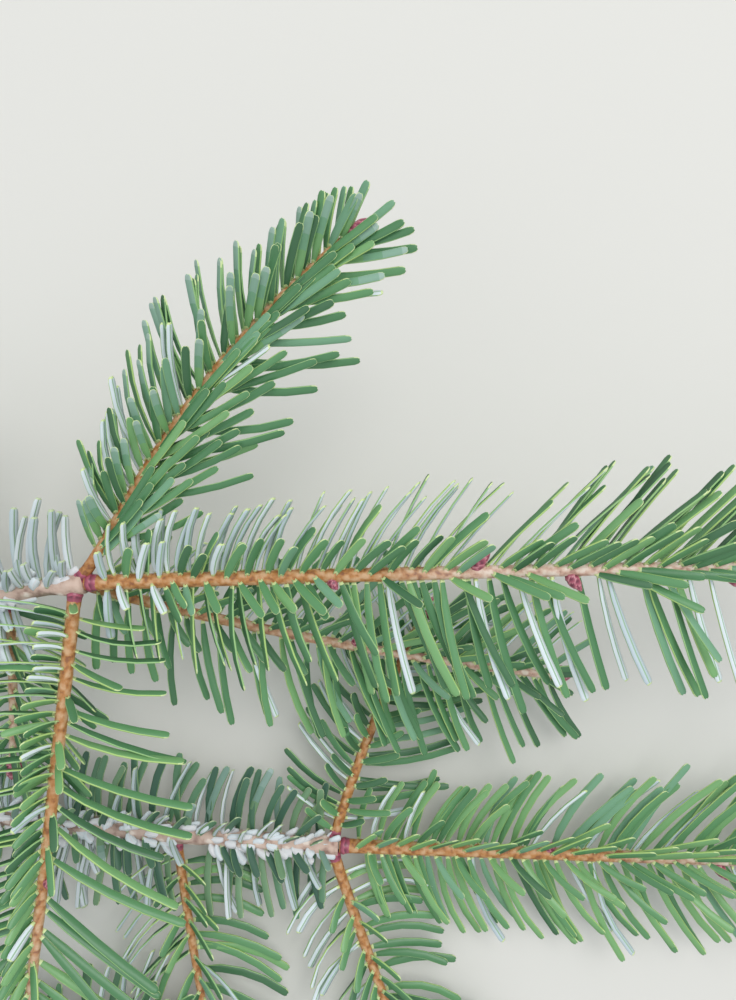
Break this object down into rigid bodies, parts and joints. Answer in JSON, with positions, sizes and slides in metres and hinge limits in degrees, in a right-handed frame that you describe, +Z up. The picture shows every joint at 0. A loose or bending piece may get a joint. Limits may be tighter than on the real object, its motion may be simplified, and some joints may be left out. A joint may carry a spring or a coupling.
{
  "type": "cut fir bough",
  "caption": "Cut fir bough lying flat: a woody stem and two side stems thinly set with old needles, and forked twigs in flat ranks of long blunt needles, with small pink buds.",
  "frame": {"origin": "under the middle of the bough's outline, at the height of its lowest needle tips, where it lies", "axes": "+X along the main stem, from its cut end to the leader's tip; +Y towards the raised side stem; +Z up"},
  "size_m": [0.3594, 0.2862, 0.0705],
  "materials": {
    "bark": "matte",
    "young_bark": "matte",
    "needles": "satin",
    "old_needles": "satin",
    "buds": "satin"
  },
  "bodies": {
    "root": {"main_stem": "bark", "upper_stem": "bark", "lower_stem": "bark", "main_leader": "needles", "main_upper_twig": "needles", "main_lower_twig": "needles", "main_inner_twig": "needles", "upper_leader": "needles", "upper_twig": "needles", "lower_twig": "needles", "under_twig": "needles", "inner_twig": "needles", "outer_twig": "needles", "lower_leader": "needles", "lower_upper_twig": "needles", "lower_lower_twig": "needles", "lower_outer_twig": "needles", "main_old_needles_left": "old_needles", "main_old_needles_right": "old_needles", "main_end_needles_right": "old_needles", "main_foot_needles_left": "old_needles", "main_foot_needles_right": "old_needles", "upper_old_needles_left": "old_needles", "upper_end_needles_left": "old_needles", "upper_old_needles_right": "old_needles", "lower_old_needles_left": "old_needles", "lower_old_needles_right": "old_needles", "lower_end_needles_right": "old_needles"}
  },
  "joints": []
}
